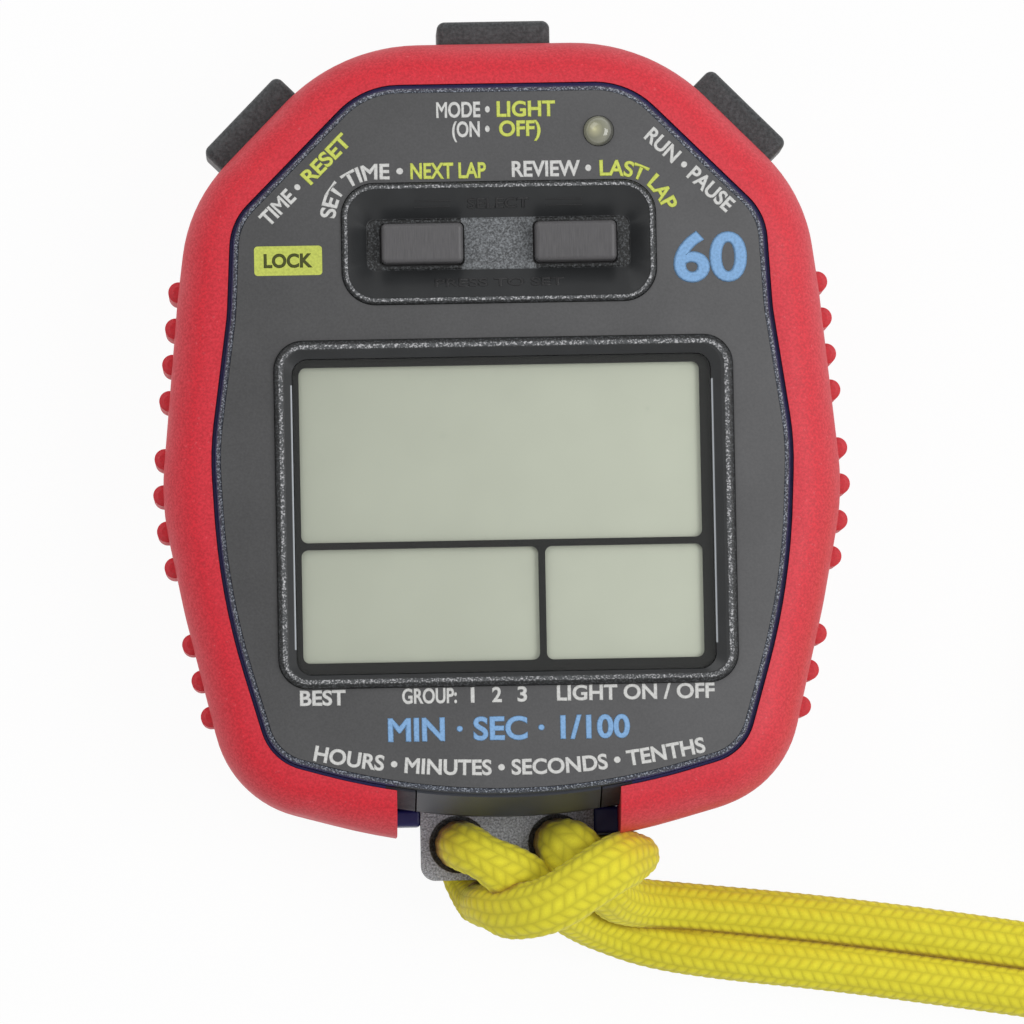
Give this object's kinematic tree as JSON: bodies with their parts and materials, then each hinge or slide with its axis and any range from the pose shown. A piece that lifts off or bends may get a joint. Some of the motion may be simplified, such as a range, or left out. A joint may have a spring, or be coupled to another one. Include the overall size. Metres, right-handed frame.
{
  "type": "digital stopwatch",
  "caption": "Hand-held digital stopwatch in a shield-shaped rubber-banded case, with push buttons round its top, face keys, a segmented display and a braided cord on a lug.",
  "frame": {"origin": "middle of the watch's own box in plan, on its flat back, without the cord", "axes": "+Z out of the face, +Y towards the top button, +X to the right as the face is read"},
  "size_m": [0.1478, 0.103, 0.0227],
  "materials": {
    "red_rubber": "soft matt",
    "navy_plastic": "satin",
    "black_plastic": "fine spark-eroded grain",
    "dark_key": "satin",
    "grey_plate": "matt printed",
    "clear_window": "polished",
    "black_mask": "printed film",
    "lcd": "reflective liquid crystal",
    "lens": "tinted",
    "white_light": "diffuser",
    "soft_rubber": "silicone",
    "board": "solder mask",
    "chip": "moulded",
    "steel": "plated",
    "brass": "rolled",
    "cord": "braided"
  },
  "bodies": {
    "case": {"rear_housing": "navy_plastic", "front_housing": "black_plastic", "faceplate": "grey_plate", "display_window": "clear_window", "display_mask": "black_mask", "lcd_panel": "lcd", "backlight_panel": "white_light", "upper_connector": "soft_rubber", "lower_connector": "soft_rubber", "light_lens": "lens", "light_sensor": "chip", "bumper": "red_rubber", "circuit_board": "board", "timer_chip": "chip", "quartz_crystal": "steel", "filter_capacitors": "chip", "board_screws": "steel", "case_screws": "steel", "case_gasket": "soft_rubber", "buzzer": "brass", "battery_cover": "navy_plastic", "cover_seal": "soft_rubber", "coin_cell": "steel", "upper_contact": "steel", "side_contact": "steel", "top_switch": "chip", "left_switch": "chip", "right_switch": "chip", "top_spring": "steel", "left_spring": "steel", "right_spring": "steel", "top_seal": "soft_rubber", "left_seal": "soft_rubber", "right_seal": "soft_rubber", "left_dome": "soft_rubber", "right_dome": "soft_rubber", "lanyard_upper": "cord", "lanyard_lower": "cord", "lanyard_coil": "cord"},
    "top_button": {"top_button": "black_plastic", "top_clip": "steel"},
    "left_button": {"left_button": "black_plastic", "left_clip": "steel"},
    "right_button": {"right_button": "black_plastic", "right_clip": "steel"},
    "left_key": {"left_key": "dark_key"},
    "right_key": {"right_key": "dark_key"}
  },
  "joints": [
    {"name": "top_press", "type": "slide", "parent": "case", "child": "top_button", "axis": [0, -1, 0], "range_m": [0, 0.0011], "stiffness_N_per_m": 900, "springref_m": -0.0014, "deforming": ["top_spring"]},
    {"name": "left_press", "type": "slide", "parent": "case", "child": "left_button", "axis": [0.7117, -0.7025, 0], "range_m": [0, 0.0011], "stiffness_N_per_m": 900, "springref_m": -0.0014, "deforming": ["left_spring"]},
    {"name": "right_press", "type": "slide", "parent": "case", "child": "right_button", "axis": [-0.7117, -0.7025, 0], "range_m": [0, 0.0011], "stiffness_N_per_m": 900, "springref_m": -0.0014, "deforming": ["right_spring"]},
    {"name": "left_key_press", "type": "slide", "parent": "case", "child": "left_key", "axis": [0, 0, -1], "range_m": [0, 0.0008], "stiffness_N_per_m": 900, "springref_m": -0.001},
    {"name": "right_key_press", "type": "slide", "parent": "case", "child": "right_key", "axis": [0, 0, -1], "range_m": [0, 0.0008], "stiffness_N_per_m": 900, "springref_m": -0.001}
  ]
}
